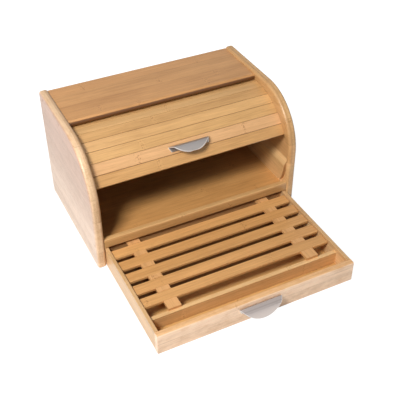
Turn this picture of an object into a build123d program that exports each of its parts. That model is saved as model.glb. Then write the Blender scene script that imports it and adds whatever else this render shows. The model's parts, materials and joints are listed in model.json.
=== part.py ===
from build123d import *
import os
from math import acos, asin, ceil, cos, degrees, radians, tan

# Bread box in bamboo: a roll-top curtain closes the bread compartment, and a drawer with a
# slatted cutting rack, a crumb space and a knife compartment slides out under it.
#
# Millimetres, +Z up, X across the width, front towards -Y. Everything is worked out about the
# middle of the case, with the table at z = 0, and then moved along Y so that the origin is the
# bottom centre of the whole thing as it stands: drawer pulled out and curtain half open.

# ---- clearances ----
RUN = 0.5             # running gap of the drawer and of the curtain in its groove
SEAT = 0.1            # gap round a tongue, a lap or a screw
LIFT = 0.4            # the drawer runs this far above the table

# ---- case ----
CASE_WIDTH = 400.0
CASE_DEPTH = 257.0
CASE_HEIGHT = 229.5
SIDE_THICKNESS = 16.0
SIDE_ARC = 105.0      # the large curve from the top to the front
SIDE_CORNER = 6.0     # the other three corners of a side
SIDE_ROUNDING = 5.0   # bullnose along every edge of a side
TOP_THICKNESS = 9.5
TOP_STEP = 4.5        # the sides stand this much above the top panel
TOP_DEPTH = 120.0
TOP_NOSE = 6.0
INSET = 1.0           # the panels stop this far short of the back edge of the sides
BACK_THICKNESS = 8.0
SHELF_THICKNESS = 8.0
HOUSING = 3.0         # depth of the housing that a side holds the shelf in
RAIL_THICKNESS = 10.0
RAIL_HEIGHT = 18.5
RAIL_SETBACK = 2.0    # from the front edge of the sides
RAIL_ROUNDING = 2.0
LEDGE_HEIGHT = 42.5   # full thickness of a side above the shelf, under the routed recess
BEVEL_HEIGHT = 12.0   # sloping lower border of the recess

# ---- roll-top curtain ----
CURTAIN_RADIUS = 114.0   # outer corners of the slats, about the axis that the curtain turns on
LIP = 7.0                # wood left in front of the groove
TOP_GAP = 1.0            # between the curtain and the underside of the top panel
GROOVE_DEPTH = 6.5
SLAT_PITCH = 21.4
SLAT_THICKNESS = 6.0
SLAT_JOINT = 0.3         # gap between two slats
SLAT_BEVEL = 0.7         # small bevels that make the V line between slats
LEAD_BEVEL = 1.5         # larger bevel along the bottom edge of the lead slat
CANVAS_THICKNESS = 0.8
CANVAS_MARGIN = 8.0      # the canvas stops this far from the inside of each side
TUCK = 10.0              # length of curtain still under the top panel when it is shut
STANDING_ANGLE = 150.2   # bottom edge of the curtain as it stands, from +Y over the top
OPENING = 46.0           # degrees from there to fully open
GUIDE_WIDTH = 10.0       # guide strip under the curtain
GUIDE_START = 146.0

# ---- drawer ----
DRAWER_LENGTH = 238.0
DRAWER_HELD = 15.5       # of its length still inside the case as it stands
DRAWER_HEIGHT = 41.1
FRONT_THICKNESS = 10.5
FRONT_NOSE = 3.5
DRAWER_SIDE = 6.5
DRAWER_BACK = 10.0
REBATE = 5.0             # step in the back that carries the rear ends of the battens
FLOOR_THICKNESS = 4.0
FLOOR_RAISED = 3.0       # underside of the floor above the bottom edge of the drawer
TONGUE = 3.0             # the floor reaches this far into its groove
DIVIDER_THICKNESS = 8.0
KNIFE_SPACE = 31.5       # between the divider and the front
EASE = 1.0               # softened edges of the smaller boards

# ---- rack in the drawer ----
RACK_THICKNESS = 5.0
RACK_EASE = 0.5          # bevel along the slats' edges
RACK_DROP = 3.5          # top of the rack below the edge of the drawer
RACK_SLATS = 5
RACK_GAP = 10.5
RACK_END_GAP = 1.5       # between the slats' ends and the drawer sides
FRONT_OVERHANG = 19.8    # battens beyond the front slat
REAR_OVERHANG = 16.7     # and beyond the rear one
BATTEN_WIDTH = 23.0
BATTEN_INSET = 44.5      # middle of a batten from the slats' ends
BEARING = 2.5            # how far the battens lie on the divider

# ---- half-moon pulls and screws ----
PULL_CHORD = 80.0
PULL_SHEET = 1.6
PULL_TAB = 10.0          # flat part against the wood, behind the rest
PULL_BEND = 0.8          # inner radius of the bend from the tab to the flange
PULL_FLANGE = 8.5        # flat length of the flange that stands out from the wood
PULL_SLOPE = 20.0        # the flange falls this many degrees from level
PULL_KNEE = 2.0          # inner radius of the bend from the flange to the lobe
PULL_LOBE = 15.0
PULL_LEAN = 16.0         # degrees between the lobe and the wood
PULL_FRONT_DROP = 9.1    # top edge of the pull below the top of the drawer front
PULL_SLAT_DROP = 7.2     # top edge of the pull below the upper edge of its slat
PULL_SCREW_SPACING = 44.0
PULL_SCREW_DROP = 6.0
PULL_SCREW_BITE = 1.2    # thread in the sheet
SHANK_RADIUS = 1.5
HEAD_RADIUS = 3.0
HEAD_HEIGHT = 1.8
PIN_RADIUS = 2.0         # pins that hold the case together, five in each side
PIN_LENGTH = 32.0
PIN_SUNK = 0.5
TOP_PIN_INSET = 7.0      # from the front edge of the top panel
TOP_PIN_SPACING = 91.0
BACK_PIN_LOW = 34.0
BACK_PIN_SPACING = 150.0

# ---- places that follow from the sizes ----
front_edge = -CASE_DEPTH / 2
back_edge = CASE_DEPTH / 2
inside = CASE_WIDTH / 2 - SIDE_THICKNESS
panel_back = back_edge - INSET
top_face = CASE_HEIGHT - TOP_STEP
top_under = top_face - TOP_THICKNESS
top_front = panel_back - TOP_DEPTH
back_inner = panel_back - BACK_THICKNESS

drawer_top = LIFT + DRAWER_HEIGHT
shelf_under = drawer_top + RUN
shelf_top = shelf_under + SHELF_THICKNESS
rail_front = front_edge + RAIL_SETBACK
rail_back = rail_front + RAIL_THICKNESS
rail_top = shelf_under + RAIL_HEIGHT
ledge_top = shelf_top + LEDGE_HEIGHT
recess_low = ledge_top + BEVEL_HEIGHT

axis_y = front_edge + LIP + RUN + CURTAIN_RADIUS
axis_z = top_under - TOP_GAP - CURTAIN_RADIUS
pitch_angle = degrees(SLAT_PITCH / CURTAIN_RADIUS)
face_radius = CURTAIN_RADIUS * cos(radians(pitch_angle / 2))
inner_radius = face_radius - SLAT_THICKNESS
run_angle = degrees(RUN / CURTAIN_RADIUS)
shut_angle = 180 + degrees(asin((axis_z - shelf_top - RUN) / CURTAIN_RADIUS))
slot_angle = degrees(acos((top_front - axis_y) / CURTAIN_RADIUS))
slat_count = ceil((shut_angle - slot_angle + degrees(TUCK / CURTAIN_RADIUS)) / pitch_angle)
tail_angle = STANDING_ANGLE - slat_count * pitch_angle
groove_inner = inner_radius - RUN / 2
groove_outer = CURTAIN_RADIUS + RUN
groove_start = tail_angle - OPENING - run_angle
groove_end = shut_angle + run_angle
slat_length = 2 * (inside + GROOVE_DEPTH - RUN)

drawer_width = 2 * (inside - RUN)
drawer_out = DRAWER_LENGTH - DRAWER_HELD
drawer_face = rail_front - drawer_out
drawer_rear = drawer_face + DRAWER_LENGTH
cavity_front = drawer_face + FRONT_THICKNESS
cavity_back = drawer_rear - DRAWER_BACK
cavity_half = drawer_width / 2 - DRAWER_SIDE
floor_under = LIFT + FLOOR_RAISED
floor_top = floor_under + FLOOR_THICKNESS
rack_top = drawer_top - RACK_DROP
rack_under = rack_top - RACK_THICKNESS
divider_front = cavity_front + KNIFE_SPACE
divider_back = divider_front + DIVIDER_THICKNESS
batten_front = divider_back - BEARING
batten_back = cavity_back + REBATE - RUN
rack_front = batten_front + FRONT_OVERHANG
slats_room = batten_back - batten_front - FRONT_OVERHANG - REAR_OVERHANG
slat_width = (slats_room - (RACK_SLATS - 1) * RACK_GAP) / RACK_SLATS
rack_pitch = slat_width + RACK_GAP
rack_reach = cavity_half - RACK_END_GAP

pin_head = CASE_WIDTH / 2 - PIN_SUNK
pin_tip = pin_head - PIN_LENGTH
pins_at = [
    (top_front + TOP_PIN_INSET, (top_under + top_face) / 2),
    (top_front + TOP_PIN_INSET + TOP_PIN_SPACING, (top_under + top_face) / 2),
    ((rail_front + rail_back) / 2, (shelf_under + rail_top) / 2),
    ((back_inner + panel_back) / 2, BACK_PIN_LOW),
    ((back_inner + panel_back) / 2, BACK_PIN_LOW + BACK_PIN_SPACING),
]


def board(x0, x1, y0, y1, z0, z1):
    """Plain board between two corners."""
    return Pos((x0 + x1) / 2, (y0 + y1) / 2, (z0 + z1) / 2) * Box(x1 - x0, y1 - y0, z1 - z0)


def edges_along(solid, axis):
    return solid.edges().filter_by(axis)


def eased(solid, axis, radius=EASE):
    """Rounds the edges of a board that run along one axis."""
    return fillet(edges_along(solid, axis), radius)


def nosed(solid, nose):
    """Board along X whose upper front edge is rounded over, and whose other long edges are eased."""
    long_edges = edges_along(solid, Axis.X)
    upper_front = long_edges.group_by(Axis.Z)[-1].sort_by(Axis.Y)[0]
    solid = fillet(upper_front, nose)
    rest = [e for e in edges_along(solid, Axis.X) if e.length > 1
            and (e.center().Y > solid.bounding_box().max.Y - nose / 2
                 or e.center().Z < solid.bounding_box().min.Z + nose / 2)]
    return fillet(rest, min(EASE, nose / 3))


def on_curtain(angle):
    """Frame on the curtain's circle: local x along the circle, local y outwards, local z along X."""
    return Plane.YZ * Pos(axis_y, axis_z) * Rot(0, 0, angle - 90)


def arc_band(r_in, r_out, start, end, x0, x1):
    """Solid between two radii about the curtain's axis, from one angle to another, x0 to x1."""
    outer = CenterArc((0, 0), r_out, start, end - start)
    inner = CenterArc((0, 0), r_in, start, end - start)
    ends = [Line(outer @ 0, inner @ 0), Line(outer @ 1, inner @ 1)]
    face = Plane.YZ.offset(x0) * Pos(axis_y, axis_z) * make_face([outer, inner] + ends)
    return extrude(face, x1 - x0)


def bar(radius, x0, x1, y, z):
    """Round bar along X."""
    return Pos((x0 + x1) / 2, y, z) * Rot(0, 90, 0) * Cylinder(radius, abs(x1 - x0))


# ---------------------------------------------------------------- case

def right_side():
    """Side board: rounded outline, bullnose all round, groove for the curtain, recess and housing."""
    outline = Pos(0, CASE_HEIGHT / 2) * Rectangle(CASE_DEPTH, CASE_HEIGHT)
    front_top = outline.vertices().sort_by(Axis.Y)[-2:].sort_by(Axis.X)[0]
    outline = fillet(front_top, SIDE_ARC)
    rows = outline.vertices().group_by(Axis.Y)
    outline = fillet(rows[0] + rows[-1].sort_by(Axis.X)[-1:], SIDE_CORNER)
    solid = extrude(Plane.YZ.offset(inside) * outline, SIDE_THICKNESS)
    faces = solid.faces().sort_by(Axis.X)
    solid = fillet(faces[0].edges() + faces[-1].edges(), SIDE_ROUNDING)
    floor_x = inside + GROOVE_DEPTH
    solid -= arc_band(groove_inner, groove_outer, groove_start, groove_end, inside, floor_x)
    section = Polygon((inside, ledge_top), (floor_x, recess_low),
                      (floor_x, CASE_HEIGHT), (inside, CASE_HEIGHT), align=None)
    above_ledge = extrude(Plane.XZ * section, CASE_DEPTH, both=True)
    disc = bar(groove_inner + RUN, inside, floor_x, axis_y, axis_z)
    solid -= disc & above_ledge
    solid -= board(inside, inside + HOUSING, rail_back, back_inner, shelf_under, shelf_top)
    for y, z in pins_at:
        solid -= bar(PIN_RADIUS + SEAT, inside, CASE_WIDTH / 2, y, z)
    return solid


def drilled(panel):
    """Panel with a hole at each end for every pin that meets it."""
    for y, z in pins_at:
        hole = bar(PIN_RADIUS + SEAT, pin_tip - SEAT, inside, y, z)
        panel -= hole
        panel -= mirror(hole, about=Plane.YZ)
    return panel


def case_pins():
    """Pins through the sides into the panels, sunk a little at their outer ends."""
    pins = [bar(PIN_RADIUS, pin_tip, pin_head, y, z) for y, z in pins_at]
    return pins + [mirror(p, about=Plane.YZ) for p in pins]


def right_guide():
    """Strip glued into the recess, which the slats' ends slide over."""
    strip = arc_band(groove_inner - GUIDE_WIDTH, groove_inner, 0, GUIDE_START,
                     inside, inside + GROOVE_DEPTH)
    return strip - board(inside, CASE_WIDTH / 2, 0, CASE_DEPTH, 0, recess_low)


def case_parts():
    side = right_side()
    guide = right_guide()
    top = nosed(board(-inside, inside, top_front, panel_back, top_under, top_face), TOP_NOSE)
    back = board(-inside, inside, back_inner, panel_back, LIFT, top_under)
    reach = inside + HOUSING - SEAT
    shelf = board(-reach, reach, rail_back, back_inner, shelf_under, shelf_top)
    rail = eased(board(-inside, inside, rail_front, rail_back, shelf_under, rail_top),
                 Axis.X, RAIL_ROUNDING)
    return {
        "side_right": side,
        "side_left": mirror(side, about=Plane.YZ),
        "top_panel": drilled(top),
        "back_panel": drilled(back),
        "shelf": shelf,
        "front_rail": drilled(rail),
        "curtain_guide_right": guide,
        "curtain_guide_left": mirror(guide, about=Plane.YZ),
        "case_pins": case_pins(),
    }


# ---------------------------------------------------------------- pulls

def polar(centre, radius, angle):
    """Point at this radius and angle from a centre, in a plane."""
    return (centre[0] + radius * cos(radians(angle)), centre[1] + radius * sin_deg(angle))


def pull():
    """Half-moon sheet pull. Local x along the chord, y outwards from the wood, z up; its top edge
    is at z = 0. From a tab against the wood the sheet turns over into a flange that stands out,
    and then down into a lobe; a round outline trims it."""
    turn = PULL_BEND + PULL_SHEET
    first = (turn, -turn)
    rim = polar(first, PULL_BEND - PULL_KNEE, 90 - PULL_SLOPE)
    second = polar(rim, PULL_FLANGE, -PULL_SLOPE)
    sides = []
    for skin in (PULL_SHEET, 0):
        bend = CenterArc(first, PULL_BEND + skin, 180, -90 - PULL_SLOPE)
        knee = CenterArc(second, PULL_KNEE + skin, 90 - PULL_SLOPE, PULL_SLOPE + PULL_LEAN - 90)
        tip = polar(tuple(knee @ 1), PULL_LOBE, PULL_LEAN - 90)
        foot = (PULL_SHEET - skin, -PULL_TAB)
        sides.append((foot, tip, [Line(foot, bend @ 0), bend, Line(bend @ 1, knee @ 0), knee,
                                  Line(knee @ 1, tip)]))
    (foot, tip, outer), (inner_foot, inner_tip, inner) = sides
    section = make_face(outer + inner + [Line(foot, inner_foot), Line(tip, inner_tip)])
    sheet = extrude(Plane.YZ * section, PULL_CHORD / 2, both=True)
    # the trimming outline lies square to the line half way between down and outwards
    reach = (tip[0] - tip[1]) * cos(radians(45))
    radius = ((PULL_CHORD / 2) ** 2 + reach ** 2) / (2 * reach)
    moon = Pos(0, radius - reach) * Circle(radius)
    moon &= Pos(0, -PULL_CHORD / 2) * Rectangle(PULL_CHORD, PULL_CHORD)
    moon = fillet(moon.vertices(), PULL_SHEET)
    slope = Plane(origin=(0, 0, 0), x_dir=(1, 0, 0), z_dir=(0, -1, -1))
    solid = sheet & extrude(slope * moon, PULL_CHORD, both=True)
    for x in (-PULL_SCREW_SPACING / 2, PULL_SCREW_SPACING / 2):
        hole = Pos(x, 0, -PULL_SCREW_DROP) * Rot(90, 0, 0) * Cylinder(
            SHANK_RADIUS + SEAT / 2, 2 * PULL_SCREW_BITE)
        solid -= hole
    return solid


def pull_screws(wood, radius=SHANK_RADIUS, head=True):
    """The two screws of a pull, through this much wood, in the pull's frame. Without heads and with
    a larger radius they are the holes."""
    screws = []
    for x in (-PULL_SCREW_SPACING / 2, PULL_SCREW_SPACING / 2):
        along = Pos(x, 0, -PULL_SCREW_DROP) * Rot(90, 0, 0)
        length = wood + PULL_SCREW_BITE
        screw = along * Pos(0, 0, wood - length / 2) * Cylinder(radius, length)
        if head:
            pan = Pos(0, 0, wood + HEAD_HEIGHT / 2) * Cylinder(HEAD_RADIUS, HEAD_HEIGHT)
            pan = chamfer(pan.edges().sort_by(Axis.Z)[-1], HEAD_HEIGHT / 2)
            screw += along * pan
        screws.append(screw)
    return screws


# ---------------------------------------------------------------- curtain

def slat(angle, lead):
    """One slat: flat face outwards, sides towards the axis, bevelled outer edges. The lead slat
    has a larger bevel along its lower edge."""
    half = pitch_angle / 2
    outer = face_radius * tan(radians(half)) - SLAT_JOINT / 2
    inner = inner_radius * tan(radians(half)) - SLAT_JOINT / 2
    low = LEAD_BEVEL if lead else SLAT_BEVEL
    # local x falls as the angle grows, so the lower edge is on the negative side
    section = Polygon((-inner, inner_radius), (-outer, face_radius - low), (-outer + low, face_radius),
                      (outer - SLAT_BEVEL, face_radius), (outer, face_radius - SLAT_BEVEL),
                      (inner, inner_radius), align=None)
    return extrude(on_curtain(angle) * section, slat_length / 2, both=True)


def canvas():
    """Canvas glued to the inner faces of the slats."""
    corner = 1 / cos(radians(pitch_angle / 2))
    angles = [STANDING_ANGLE - i * pitch_angle for i in range(slat_count + 1)]
    rim = []
    for radius, order in ((inner_radius, angles), (inner_radius - CANVAS_THICKNESS, angles[::-1])):
        rim += [(radius * corner * cos(radians(a)), radius * corner * sin_deg(a)) for a in order]
    face = Plane.YZ * Pos(axis_y, axis_z) * Polygon(*rim, align=None)
    return extrude(face, inside - CANVAS_MARGIN, both=True)


def sin_deg(angle):
    return cos(radians(angle - 90))


def curtain_parts():
    parts = {}
    pull_slat = STANDING_ANGLE - 1.5 * pitch_angle
    # frame of the pull: y outwards on the second slat, z up the curtain
    place = Plane(on_curtain(pull_slat) * Pos(0, face_radius, 0))
    seat = Plane(origin=place.origin, x_dir=(-1, 0, 0), z_dir=place.x_dir)
    rise = face_radius * tan(radians(pitch_angle / 2)) - PULL_SLAT_DROP
    seat = seat * Pos(0, 0, rise)
    wood = SLAT_THICKNESS + CANVAS_THICKNESS
    holes = pull_screws(wood, SHANK_RADIUS + SEAT, head=False)
    sheet = canvas()
    for hole in holes:
        sheet -= seat * hole
    for i in range(slat_count):
        solid = slat(STANDING_ANGLE - (i + 0.5) * pitch_angle, i == 0)
        if i == 1:
            for hole in holes:
                solid -= seat * hole
        parts[f"curtain_slat_{i + 1:02d}"] = solid
    parts["curtain_canvas"] = sheet
    parts["curtain_pull"] = seat * pull()
    parts["curtain_pull_screws"] = [seat * s for s in pull_screws(wood)]
    return parts


# ---------------------------------------------------------------- drawer

def drawer_side():
    """Right side of the drawer, grooved for the floor."""
    half = drawer_width / 2
    solid = eased(board(cavity_half, half, cavity_front, drawer_rear, LIFT, drawer_top), Axis.Y)
    return solid - board(cavity_half, cavity_half + TONGUE, cavity_front, drawer_rear,
                         floor_under, floor_top)


def drawer_parts():
    half = drawer_width / 2
    side = drawer_side()
    front = nosed(board(-half, half, drawer_face, cavity_front, LIFT, drawer_top), FRONT_NOSE)
    front -= board(-cavity_half - TONGUE, cavity_half + TONGUE, cavity_front - TONGUE, cavity_front,
                   floor_under, floor_top)
    back = board(-cavity_half, cavity_half, cavity_back, drawer_rear, LIFT, drawer_top)
    back -= board(-half, half, cavity_back, cavity_back + TONGUE, floor_under, floor_top)
    back -= board(-half, half, cavity_back, cavity_back + REBATE, rack_under, shelf_under)
    tongue = TONGUE - SEAT
    floor = board(-cavity_half - tongue, cavity_half + tongue, cavity_front - tongue,
                  cavity_back + tongue, floor_under + SEAT, floor_top)
    divider = eased(board(-cavity_half, cavity_half, divider_front, divider_back,
                          floor_top, rack_under), Axis.X)
    # frame of the pull: y outwards from the front, z up
    seat = Pos(0, drawer_face, drawer_top - PULL_FRONT_DROP) * Rot(0, 0, 180)
    for hole in pull_screws(FRONT_THICKNESS, SHANK_RADIUS + SEAT, head=False):
        front -= seat * hole
    return {
        "drawer_front": front,
        "drawer_side_right": side,
        "drawer_side_left": mirror(side, about=Plane.YZ),
        "drawer_back": back,
        "drawer_floor": floor,
        "drawer_divider": divider,
        "drawer_pull": seat * pull(),
        "drawer_pull_screws": [seat * s for s in pull_screws(FRONT_THICKNESS)],
    }


def rack_parts():
    """Five slats half-lapped flush into two battens, which lie on the divider and on the back."""
    parts = {}
    lap = rack_top - RACK_THICKNESS / 2
    batten_xs = (BATTEN_INSET - rack_reach, rack_reach - BATTEN_INSET)
    fronts = [rack_front + i * rack_pitch for i in range(RACK_SLATS)]
    for i, y in enumerate(fronts):
        solid = board(-rack_reach, rack_reach, y, y + slat_width, rack_under, rack_top)
        solid = chamfer(edges_along(solid, Axis.X), RACK_EASE)
        for x in batten_xs:
            w = BATTEN_WIDTH / 2 + SEAT
            solid -= board(x - w, x + w, y, y + slat_width, rack_under, lap)
        parts[f"rack_slat_{i + 1}"] = solid
    for name, x in zip(("left", "right"), batten_xs):
        w = BATTEN_WIDTH / 2
        solid = board(x - w, x + w, batten_front, batten_back, rack_under, rack_top)
        for y in fronts:
            solid -= board(x - w, x + w, y - SEAT, y + slat_width + SEAT, lap, rack_top)
        parts[f"rack_batten_{name}"] = solid
    return parts


# ---------------------------------------------------------------- assembly

parts = case_parts() | curtain_parts() | drawer_parts() | rack_parts()
solids = {name: p if isinstance(p, list) else [p] for name, p in parts.items()}
boxes = [s.bounding_box() for group in solids.values() for s in group]
middle = (min(b.min.Y for b in boxes) + max(b.max.Y for b in boxes)) / 2

os.makedirs("parts", exist_ok=True)
for name, group in solids.items():
    placed = [Pos(0, -middle, 0) * s for s in group]
    export_step(Compound(children=placed) if len(placed) > 1 else placed[0], f"parts/{name}.step")

print(f"{len(parts)} nodes, moved {-middle:.4f} along Y")
print(f"curtain axis y {axis_y - middle:.4f} z {axis_z:.4f}, {slat_count} slats")
print(f"curtain shuts {shut_angle - STANDING_ANGLE:.3f} and opens {OPENING:.3f} degrees")
print(f"drawer shuts {drawer_out:.3f}")
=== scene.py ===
import json
import math

import bpy
from mathutils import Matrix, Vector


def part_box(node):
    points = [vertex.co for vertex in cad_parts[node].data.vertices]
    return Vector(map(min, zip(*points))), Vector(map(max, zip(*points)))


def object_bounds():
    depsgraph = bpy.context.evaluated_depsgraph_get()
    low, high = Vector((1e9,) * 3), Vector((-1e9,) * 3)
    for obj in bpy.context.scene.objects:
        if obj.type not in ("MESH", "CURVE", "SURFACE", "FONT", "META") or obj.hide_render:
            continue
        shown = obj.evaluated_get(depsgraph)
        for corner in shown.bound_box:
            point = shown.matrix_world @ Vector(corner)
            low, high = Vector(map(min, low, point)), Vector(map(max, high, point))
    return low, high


# Looks for a bamboo bread box: roll-top curtain half open, drawer with its rack pulled out.
# Everything is in metres, in the frame of the solids: +Z up, X across the width, front at -Y.

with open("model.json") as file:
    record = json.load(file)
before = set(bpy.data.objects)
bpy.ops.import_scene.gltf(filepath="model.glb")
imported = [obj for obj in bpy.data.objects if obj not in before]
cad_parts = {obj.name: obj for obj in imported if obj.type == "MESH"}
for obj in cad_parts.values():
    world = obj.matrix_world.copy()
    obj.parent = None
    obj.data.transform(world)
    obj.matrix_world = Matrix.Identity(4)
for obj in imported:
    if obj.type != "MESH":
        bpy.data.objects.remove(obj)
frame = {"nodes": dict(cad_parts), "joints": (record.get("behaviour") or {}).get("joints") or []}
solid_bounds = [list(c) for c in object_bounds()]
nodes = frame["nodes"]
joint = {j["name"]: j for j in frame["joints"]}
AXIS_Y, AXIS_Z = joint["curtain_roll"]["pos_m"][1:]

# ---- camera ----
LENS = 66.94
AZIMUTH, ELEVATION, ROLL = -26.357, 38.895, -0.215
TARGET = Vector((0.00795, 0.00652, 0.07173))
DISTANCE = 1.35348

# ---- curtain ----
# Width of a slat and the radius that it is counted at. STANDING is the angle of the curtain's
# lower edge round its axis, from the back over the top.
SLAT_PITCH = 0.0214
CURTAIN_RADIUS = 0.114
STANDING = 150.2

# ---- pulls ----
# Radius of the round outline, how far it reaches from the chord, and how far out the fold lies.
# A seat is the place of a pull's chord, and the angle that the wood behind it faces.
PULL_RADIUS, PULL_REACH = 0.04325, 0.0268
PULL_FOLD = 0.0088
PULL_SLAT = 1.5                        # the curtain's pull sits on the middle of its second slat
FACE_RADIUS, PULL_RISE = 0.1135, 0.0035
PULL_FACING = STANDING - PULL_SLAT * math.degrees(SLAT_PITCH / CURTAIN_RADIUS)
facing_y, facing_z = math.cos(math.radians(PULL_FACING)), math.sin(math.radians(PULL_FACING))
CURTAIN_SEAT = (AXIS_Y + FACE_RADIUS * facing_y + PULL_RISE * facing_z,
                AXIS_Z + FACE_RADIUS * facing_z - PULL_RISE * facing_y, PULL_FACING)
PULL_STANDS_OUT = 0.0176
DRAWER_SEAT = (solid_bounds[0][1] + PULL_STANDS_OUT, 0.0324, 180.0)

# ---- sides ----
# Pairs of places: where a tone starts and where it is full. The painted sheen of the outer face and
# the face of the recess inside, with its painted light and shade, are counted from the middle of
# the box, the rest from the ground.
SHEEN_EDGE = (0.1974, 0.1996)
# painted sheen of the outer face: whitish near the ground as painted bounce light from the floor,
# pinkish higher up
SHEEN_FOOT, SHEEN_HEAD = 0.02, 0.20
SHEEN_LOW, SHEEN_HIGH = (1.10, 1.19, 1.46, 1.0), (0.80, 0.735, 0.86, 1.0)
# the lit border of the recess and the darker recess above it are painted light and shade
RECESS_FACE = (0.1905, 0.1915)
BORDER_FOOT, BORDER_HEAD = (0.0915, 0.0930), (0.1040, 0.1055)

# ---- tints for painted light ----
# For painted shade on the lower edge of the top panel's nose, the gold top edge of the drawer's
# front beside a face whose pale colour carries painted sheen, and painted shade on the drawer's
# floor under the rack: an axis, where the tint starts, where it is full, and its colour.
front_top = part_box("drawer_front")[1][2]
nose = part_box("top_panel")[0][1]
under_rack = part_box("drawer_divider")[1][1]
# painted shade along the lower edge of the nose, above the gap to the curtain
NOSE_SHADE = ("Y", nose + 0.0020, nose + 0.0006, (0.22, 0.16, 0.10, 1.0))
# the top edge of the drawer's front is brought back to the gold of the wood, darker than its face,
# whose pale colour carries painted sheen
EDGE_TINT = ("Z", front_top - 0.0016, front_top - 0.0006, (0.80, 0.66, 0.46, 1.0))
# painted shade on the drawer's floor under the rack, where little light reaches
FLOOR_SHADE = ("Y", under_rack + 0.044, under_rack + 0.060, (0.42, 0.34, 0.26, 1.0))


# ------------------------------------------------------------------ shader maths

class Value:
    """A shader socket that Python's operators add Math nodes to."""

    def __init__(self, finish, socket):
        self.finish, self.socket = finish, socket

    def _math(self, operation, *others):
        return self.finish.node("Math", {"operation": operation}, self, *others)["Value"]

    def __add__(self, o): return self._math("ADD", o)
    def __radd__(self, o): return self._math("ADD", o)
    def __sub__(self, o): return self._math("SUBTRACT", o)
    def __rsub__(self, o): return self._math("MULTIPLY", -1)._math("ADD", o)
    def __mul__(self, o): return self._math("MULTIPLY", o)
    def __rmul__(self, o): return self._math("MULTIPLY", o)
    def __truediv__(self, o): return self._math("DIVIDE", o)
    def __pow__(self, o): return self._math("POWER", o)
    def __abs__(self): return self._math("ABSOLUTE")
    def floor(self): return self._math("FLOOR")
    def fract(self): return self._math("FRACT")
    def exp(self): return self._math("EXPONENT")
    def above(self, o): return self._math("GREATER_THAN", o)
    def least(self, o): return self._math("MINIMUM", o)

    def ramp(self, low, high):
        """0 at low, 1 at high, smooth between."""
        return self.finish.node("MapRange", {"interpolation_type": "SMOOTHSTEP", "clamp": True},
                                self, low, high, 0.0, 1.0)["Result"]

    def bell(self, width):
        """1 at zero, falling off on both sides over this width."""
        return ((self * self) * (-1 / width ** 2)).exp()


class Outputs:
    """A node's outputs by name."""

    def __init__(self, finish, node):
        self.finish, self.made = finish, node

    def __getitem__(self, name):
        return Value(self.finish, self.made.outputs[name])


class Finish:
    """A material under construction, with its Principled shader."""

    def __init__(self, name):
        self.material = bpy.data.materials.new(name)
        self.material.use_nodes = True
        self.tree = self.material.node_tree
        self.shader = self.tree.nodes["Principled BSDF"]

    def node(self, kind, settings=None, *values, **named):
        """Adds a node: its settings first, then numbers, colours or links for its inputs in order
        or by name."""
        made = self.tree.nodes.new("ShaderNode" + kind)
        for key, value in (settings or {}).items():
            setattr(made, key, value)
        for key, value in list(enumerate(values)) + list(named.items()):
            self.feed(made.inputs[key], value)
        return Outputs(self, made)

    def feed(self, socket, value):
        if isinstance(value, Value):
            self.tree.links.new(value.socket, socket)
        else:
            socket.default_value = value

    def set(self, **values):
        for key, value in values.items():
            self.feed(self.shader.inputs[key.replace("_", " ")], value)

    def mix(self, share, a, b, blend="MIX"):
        """Colour mix of a and b by share."""
        made = self.tree.nodes.new("ShaderNodeMix")
        made.data_type, made.blend_type, made.clamp_factor = "RGBA", blend, True
        for socket, value in zip((made.inputs[0], made.inputs[6], made.inputs[7]), (share, a, b)):
            self.feed(socket, value)
        return Value(self, made.outputs[2])

    def place(self):
        """Object coordinates as three values."""
        parts = self.node("SeparateXYZ", None, self.node("TexCoord")["Object"])
        return [parts[k] for k in "XYZ"]

    def point(self, x, y, z):
        return self.node("CombineXYZ", None, x, y, z)["Vector"]

    def noise(self, at, scale=1.0, detail=2.0, rough=0.5, w=0.0):
        return self.node("TexNoise", {"noise_dimensions": "4D"}, Vector=at, W=w, Scale=scale,
                         Detail=detail, Roughness=rough)["Fac"]

    def dice(self, *xyz):
        """Three random values that stay the same for the same cell."""
        colour = self.node("TexWhiteNoise", {"noise_dimensions": "3D"}, self.point(*xyz))["Color"]
        parts = self.node("SeparateColor", None, colour)
        return [parts[k] for k in ("Red", "Green", "Blue")]

    def bump(self, height, distance, strength=1.0):
        return self.node("Bump", None, Strength=strength, Distance=distance,
                         Height=height)["Normal"]

    def angle(self, y, z):
        """Angle of a place round the curtain's axis, from the back over the top."""
        return self.node("Math", {"operation": "ARCTAN2"}, z - AXIS_Z, y - AXIS_Y)["Value"]


def rgb(r, g, b):
    """Linear colour from a screen colour."""
    return tuple(c / 12.92 if c <= 0.04045 else ((c + 0.055) / 1.055) ** 2.4
                 for c in (r / 255, g / 255, b / 255)) + (1.0,)


# ------------------------------------------------------------------ bamboo

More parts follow.
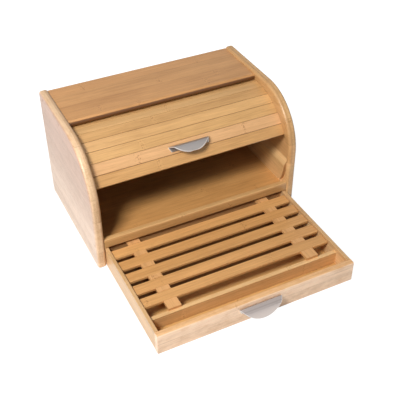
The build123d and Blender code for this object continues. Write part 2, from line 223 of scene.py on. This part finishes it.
def bamboo(name, along, across, strip, centre, seed, spread=1.0, curtain=False,
           line=(0.0004, 0.35, 0.55), pale=False, mottle=0.0, painted_tint=None):
    """Glued bamboo strips. They run along one axis, and lie side by side across another, each
    with its own tone, its growth rings at its own places, fine fibres and a hairline glue joint.

    strip: width of a strip. centre: middle colour. spread: how much the strips differ.
    curtain: the strips are the curtain's slats, round its axis.
    line: half the width of a glue joint, its strength, and how dark it is.
    pale: a side board, with painted sheen on its outer face and painted light and shade at its
    recess inside.
    mottle: strength of golden blotches, short along the grain.
    painted_tint: a tint for painted light: axis, where it starts, where it is full, and the colour
    that it multiplies by."""
    m = Finish(name)
    light, dark = tones(centre)
    x, y, z = m.place()
    if curtain:
        # arc length round the curtain's axis takes the place of a straight coordinate
        u = x
        v = (math.radians(STANDING) - m.angle(y, z)) * CURTAIN_RADIUS
        w = (((y - AXIS_Y) * (y - AXIS_Y) + (z - AXIS_Z) * (z - AXIS_Z)) ** 0.5)
    else:
        axes = {"X": x, "Y": y, "Z": z}
        u, v = axes[along], axes[across]
        w = axes[({"X", "Y", "Z"} - {along, across}).pop()]
    lane = v / strip + (50.0 if curtain else 50.0 + seed * 0.37)
    row = lane.floor()
    a, b, c = m.dice(row, seed, 0.5)
    # growth rings: one every 200 mm or so along a strip, each at its own place
    step = 0.19 + b * 0.08
    s = u / step + (a * 7.3 + seed * 0.61)
    ring_no = s.floor()
    p, q, r = m.dice(row, ring_no, seed + 3.1)
    warp = m.noise(m.point(u * 60, v * 110, w * 110), w=seed) - 0.5
    away = ((s - ring_no) - 0.5) * step + warp * 0.009
    ring = away.bell(0.0012)
    halo = away.bell(0.0060)
    speck = m.noise(m.point(u * 330, v * 430, w * 430), detail=3.0, w=seed + 1).ramp(0.5, 0.66)
    shown = q.ramp(0.2, 0.6)
    # from fine to broad: fibres, dashes, streaks along the grain, bands and clouds
    fibre = m.noise(m.point(u * 16, v * 1500, w * 1500), detail=2.0, rough=0.6, w=seed + 2)
    thread = m.noise(m.point(u * 22, v * 520, w * 520), detail=2.0, rough=0.6, w=seed + 3)
    streak = m.noise(m.point(u * 5, v * 190, w * 190), detail=3.0, rough=0.55, w=seed + 4)
    cloud = m.noise(m.point(u * 9, v * 34, w * 34), detail=2.0, w=seed + 5)
    dash = m.noise(m.point(u * 60, v * 1400, w * 1400), detail=1.0, w=seed + 6).ramp(0.60, 0.75)
    tone = (a - 0.5) * (0.55 * spread) + (streak - 0.5) * 0.9 + (thread - 0.5) * 1.1 \
        + (fibre - 0.5) * 0.8 + (cloud - 0.5) * 0.7 + 0.45
    colour = m.mix(tone, light, dark)
    # some strips lean to pink, others to gold
    colour = m.mix((c - 0.5) * (0.5 * spread) + 0.25, colour, (1.0, 0.90, 0.86, 1.0), "MULTIPLY")
    warm = scaled(dark, 0.72, 0.58, 0.44)
    colour = m.mix(dash * 0.35, colour, warm)
    colour = m.mix(ring * (0.25 + speck) * shown * 0.5, colour, warm)
    colour = m.mix(halo * speck * shown * 0.85, colour, warm)
    colour = m.mix(halo * (1 - speck) * shown * 0.25, colour, light)
    if mottle:
        blotch = m.noise(m.point(u * 60, v * 95, w * 95), detail=4.0, rough=0.62, w=seed + 7)
        golden = m.mix(1.0, colour, (0.86, 0.76, 0.62, 1.0), "MULTIPLY")
        colour = m.mix(blotch.ramp(0.50, 0.68) * mottle, colour, golden)
        colour = m.mix((1 - blotch.ramp(0.36, 0.50)) * mottle * 0.5, colour, light)
    half, strength, depth = line
    seam = abs((lane - row) - 0.5).ramp(0.5 - half / strip, 0.5 - half * 0.3 / strip)
    glue = scaled(dark, depth, depth * 0.72, depth * 0.5)
    colour = m.mix(seam * (c + 1) * (strength * 0.6), colour, glue)
    if pale:
        # painted sheen: the outer face is paler, pinkish at the top and whitish lower down, where
        # painted bounce light from the white floor is stronger
        outer = abs(x).ramp(*SHEEN_EDGE)
        sheen = m.mix(z.ramp(SHEEN_FOOT, SHEEN_HEAD), SHEEN_LOW, SHEEN_HIGH)
        colour = m.mix(outer, colour, m.mix(1.0, colour, sheen, "MULTIPLY"))
        # inside, painted light and shade: the border of the recess, which faces the lamp, is
        # lighter, and the recess above it is darker
        inner = 1 - abs(x).ramp(*RECESS_FACE)
        above = z.ramp(*BORDER_HEAD)
        lit_border = z.ramp(*BORDER_FOOT) * (1 - above)
        colour = m.mix(inner * lit_border * 0.5, colour, light)
        colour = m.mix(inner * above * 0.35, colour, warm)
    # tint for painted light: painted shade on the nose and the drawer's floor, and the gold top
    # edge beside the painted sheen of the drawer's front
    if painted_tint:
        axis, start, full, cast = painted_tint
        past = {"X": x, "Y": y, "Z": z}[axis].ramp(start, full)
        colour = m.mix(past, colour, m.mix(1.0, colour, cast, "MULTIPLY"))
    if curtain:
        # the slat that carries the pull leans to pink
        pink = m.mix(1.0, colour, (1.04, 1.0, 1.36, 1.0), "MULTIPLY")
        second = 1 - abs(v / strip - PULL_SLAT).ramp(0.49, 0.50)
        colour = m.mix(second * 0.45, colour, pink)
    height = fibre * 0.35 - dash * 0.4 - seam * 0.8 + halo * shown * 0.25
    m.set(Base_Color=colour, Roughness=0.40 + (fibre - 0.5) * 0.14 + dash * 0.08,
          Normal=m.bump(height, 0.00012, 0.55))
    m.set(IOR=1.45, Coat_Weight=0.35, Coat_Roughness=0.28, Coat_IOR=1.45)
    return m.material


def scaled(colour, r, g, b):
    """Colour with each channel multiplied."""
    return (colour[0] * r, colour[1] * g, colour[2] * b, 1.0)


def tones(centre):
    """Light and dark wood round a middle colour."""
    c = rgb(*centre)
    return scaled(c, 1.20, 1.22, 1.27), scaled(c, 0.76, 0.70, 0.62)


def metal(name, colour, seat=None):
    """Satin brushed steel, with fine scratches along X. A pull also gives its seat, for painted
    shade on its root by the chord and in its fold, and a painted highlight along its rim. From the
    seat, out is the distance from the wood, down the distance along it, and slant the two together,
    on which the outline is a circle."""
    m = Finish(name)
    x, y, z = m.place()
    scratch = m.noise(m.point(x * 25, y * 4200, z * 4200), detail=3.0, rough=0.6)
    smear = m.noise(m.point(x * 40, y * 60, z * 60), detail=2.0, w=2.0)
    steel = rgb(*colour)
    base = m.mix(scratch, steel, scaled(steel, 0.84, 0.84, 0.84))
    if seat:
        seat_y, seat_z, facing = seat
        ny, nz = math.cos(math.radians(facing)), math.sin(math.radians(facing))
        out = (y - seat_y) * ny + (z - seat_z) * nz
        down = (z - seat_z) * ny - (y - seat_y) * nz
        slant = (out + down) * math.sqrt(0.5) + (PULL_RADIUS - PULL_REACH)
        rim_highlight = ((x * x + slant * slant) ** 0.5 - PULL_RADIUS).ramp(-0.0011, -0.0004)
        fold_shade = (out - PULL_FOLD).bell(0.0008)
        # painted shade on the root by the chord and in the fold, and a painted highlight along the
        # rim
        base = m.mix(down.ramp(0.0, 0.016), scaled(steel, 0.74, 0.74, 0.76), base)
        base = m.mix(fold_shade * 0.45, base, scaled(steel, 0.42, 0.40, 0.40))
        base = m.mix(rim_highlight * 0.7, base, (0.93, 0.91, 0.89, 1.0))
    m.set(Base_Color=base, Metallic=1.0, Roughness=0.32 + scratch * 0.12 + smear * 0.08,
          Normal=m.bump(scratch, 0.00003, 0.35))
    return m.material


def canvas(name):
    """Plain-woven cotton: two sets of threads that pass over and under each other."""
    m = Finish(name)
    x, y, z = m.place()
    turn = m.angle(y, z) * CURTAIN_RADIUS
    thread = 0.0007                    # width of a thread
    i, j = x / thread, turn / thread
    over = ((i.floor() + j.floor()) * 0.5).fract().above(0.25)
    warp = 1 - abs(i.fract() - 0.5) * 2
    weft = 1 - abs(j.fract() - 0.5) * 2
    weave = over * warp + (1 - over) * weft
    uneven = m.noise(m.point(x * 90, turn * 90, 0.0), detail=3.0)
    m.set(Base_Color=m.mix(weave * 0.6 + uneven * 0.4, rgb(62, 48, 38), rgb(120, 98, 78)),
          Roughness=0.9, Normal=m.bump(weave, 0.0002, 0.8))
    return m.material


# ------------------------------------------------------------------ finishes on the solids

finish = {
    "side_left": bamboo("bamboo_side_left", "Y", "Z", 0.023, (221, 188, 149), 1.0,
                        spread=0.6, pale=True, mottle=0.5),
    "side_right": bamboo("bamboo_side_right", "Y", "Z", 0.023, (212, 170, 116), 2.0,
                         pale=True, mottle=0.3),
    "top_panel": bamboo("bamboo_top", "X", "Y", 0.020, (202, 150, 94), 3.0,
                        spread=0.6, painted_tint=NOSE_SHADE),
    "back_panel": bamboo("bamboo_back", "X", "Z", 0.022, (192, 142, 92), 4.0),
    "shelf": bamboo("bamboo_shelf", "X", "Y", 0.022, (213, 159, 96), 5.0, spread=0.5),
    "front_rail": bamboo("bamboo_rail", "X", "Z", 0.02, (200, 157, 102), 6.0),
    "guides": bamboo("bamboo_guides", "Y", "Z", 0.02, (190, 142, 92), 7.0),
    # the drawer's front has a paler middle colour than the other drawer wood: painted sheen
    "drawer_front": bamboo("bamboo_drawer_front", "X", "Z", 0.0206, (244, 212, 178), 8.0,
                           mottle=0.6, painted_tint=EDGE_TINT),
    "drawer_sides": bamboo("bamboo_drawer_side", "Y", "Z", 0.0206, (212, 174, 124), 9.0),
    "drawer_back": bamboo("bamboo_drawer_back", "X", "Z", 0.0206, (196, 148, 96), 10.0),
    "drawer_floor": bamboo("bamboo_drawer_floor", "X", "Y", 0.022, (208, 164, 102), 11.0,
                           spread=0.5, painted_tint=FLOOR_SHADE),
    "drawer_divider": bamboo("bamboo_divider", "X", "Z", 0.02, (226, 186, 130), 12.0),
    "battens": bamboo("bamboo_battens", "Y", "X", 0.03, (206, 156, 100), 13.0),
    "curtain": bamboo("bamboo_curtain", "X", "Y", SLAT_PITCH, (211, 166, 108), 14.0,
                      spread=0.8, curtain=True, line=(0.0006, 0.85, 0.25)),
    "curtain_canvas": canvas("cotton_canvas"),
    # both pulls are the same steel: their different colours are painted light
    "curtain_pull": metal("satin_steel_curtain", (180, 173, 169), CURTAIN_SEAT),
    "drawer_pull": metal("satin_steel_drawer", (212, 200, 193), DRAWER_SEAT),
    "fixings": metal("pin_steel", (150, 140, 130)),
}
for i in range(5):
    finish[f"rack_slat_{i + 1}"] = bamboo(f"bamboo_rack_{i + 1}", "X", "Y", 0.03, (210, 158, 97),
                                          20.0 + i, spread=0.6)
shared = {f"curtain_slat_{i:02d}": "curtain" for i in range(1, 13)}
shared.update(curtain_guide_left="guides", curtain_guide_right="guides",
              drawer_side_left="drawer_sides", drawer_side_right="drawer_sides",
              rack_batten_left="battens", rack_batten_right="battens",
              case_pins="fixings", curtain_pull_screws="fixings", drawer_pull_screws="fixings")
for name, piece in nodes.items():
    piece.data.materials.clear()
    piece.data.materials.append(finish[shared.get(name, name)])


# ------------------------------------------------------------------ stage, lights, camera

REACH = 6.0                            # half the floor's width
FLOOR_WHITE, FLOOR_GLOW = (0.88, 0.88, 0.88, 1.0), 1.2
CLEAR_SHARE = 0.82                     # the share of the glow where the floor shows the shadow
SHADOW_ENDS = (0.32, 0.75)             # from here the shadow fades, and there it is gone
WORLD_LIGHT, WORLD_REFLECTED = 0.07, 0.60
MIDDLE = (0, 0, 0.1)                   # where the lamps point
LAMPS = (("key", (-0.96, -0.64, 1.40), (0.42, 0.42), 29.0),
         ("side", (-1.48, -0.57, 0.86), (0.6, 0.6), 3.0),
         ("top", (-0.1, 0.1, 1.9), (0.8, 0.8), 4.0),
         ("front", (0.3, -1.8, 0.6), (0.9, 0.6), 1.8))


def stage_floor():
    """Large white plane under the object. The camera and reflections see it white, wholly so a
    little way off, and near the object it keeps a soft shadow."""
    mesh = bpy.data.meshes.new("floor")
    corners = [(-REACH, -REACH, 0), (REACH, -REACH, 0), (REACH, REACH, 0), (-REACH, REACH, 0)]
    mesh.from_pydata(corners, [], [(0, 1, 2, 3)])
    floor = bpy.data.objects.new("floor", mesh)
    bpy.context.scene.collection.objects.link(floor)
    m = Finish("floor_white")
    x, y, z = m.place()
    rays = m.node("LightPath")
    seen = (rays["Is Camera Ray"] + rays["Is Glossy Ray"] + rays["Is Transmission Ray"]).least(1.0)
    far = ((x * x + y * y) ** 0.5).ramp(*SHADOW_ENDS)
    plain = m.node("BsdfDiffuse", None, FLOOR_WHITE)
    glow = m.node("Emission", None, (1.0, 1.0, 1.0, 1.0), FLOOR_GLOW)
    both = m.node("MixShader", None, seen * (CLEAR_SHARE + far * (1 - CLEAR_SHARE)),
                  plain["BSDF"], glow["Emission"])
    m.tree.links.new(both["Shader"].socket, m.tree.nodes["Material Output"].inputs["Surface"])
    mesh.materials.append(m.material)


def area(name, place, size, watts):
    """White area lamp, turned to the middle of the object."""
    lamp = bpy.data.lights.new(name, "AREA")
    lamp.shape, lamp.size, lamp.size_y = "RECTANGLE", *size
    lamp.energy = watts
    made = bpy.data.objects.new(name, lamp)
    made.location = place
    made.rotation_euler = (Vector(MIDDLE) - Vector(place)).to_track_quat("-Z", "Y").to_euler()
    bpy.context.scene.collection.objects.link(made)


def surroundings():
    """World that the camera sees white, reflections a little dimmer and plain light much dimmer."""
    world = bpy.data.worlds.new("studio")
    bpy.context.scene.world = world
    world.use_nodes = True
    tree = world.node_tree
    rays = tree.nodes.new("ShaderNodeLightPath")
    plain = tree.nodes.new("ShaderNodeMapRange")
    plain.inputs["To Min"].default_value, plain.inputs["To Max"].default_value = WORLD_LIGHT, 1.0
    tree.links.new(rays.outputs["Is Camera Ray"], plain.inputs["Value"])
    level = tree.nodes.new("ShaderNodeMath")
    level.operation = "MULTIPLY_ADD"
    level.inputs[1].default_value = WORLD_REFLECTED
    tree.links.new(rays.outputs["Is Glossy Ray"], level.inputs[0])
    tree.links.new(plain.outputs[0], level.inputs[2])
    tree.links.new(level.outputs[0], tree.nodes["Background"].inputs["Strength"])
    tree.nodes["Background"].inputs["Color"].default_value = (1.0, 1.0, 1.0, 1.0)


def camera():
    """Camera at its distance from the target, from an angle round it and one above it."""
    a, e = math.radians(AZIMUTH), math.radians(ELEVATION)
    back = Vector((math.sin(a) * math.cos(e), -math.cos(a) * math.cos(e), math.sin(e)))
    data = bpy.data.cameras.new("camera")
    data.lens, data.sensor_width = LENS, 36.0
    data.clip_start, data.clip_end = 0.05, 30.0
    made = bpy.data.objects.new("camera", data)
    turn = (-back).to_track_quat("-Z", "Y").to_matrix().to_4x4() @ Matrix.Rotation(
        math.radians(ROLL), 4, "Z")
    made.matrix_world = Matrix.Translation(TARGET + back * DISTANCE) @ turn
    bpy.context.scene.collection.objects.link(made)
    bpy.context.scene.camera = made


camera()
stage_floor()
surroundings()
for lamp_values in LAMPS:
    area(*lamp_values)
bpy.context.scene.view_settings.view_transform = "Standard"
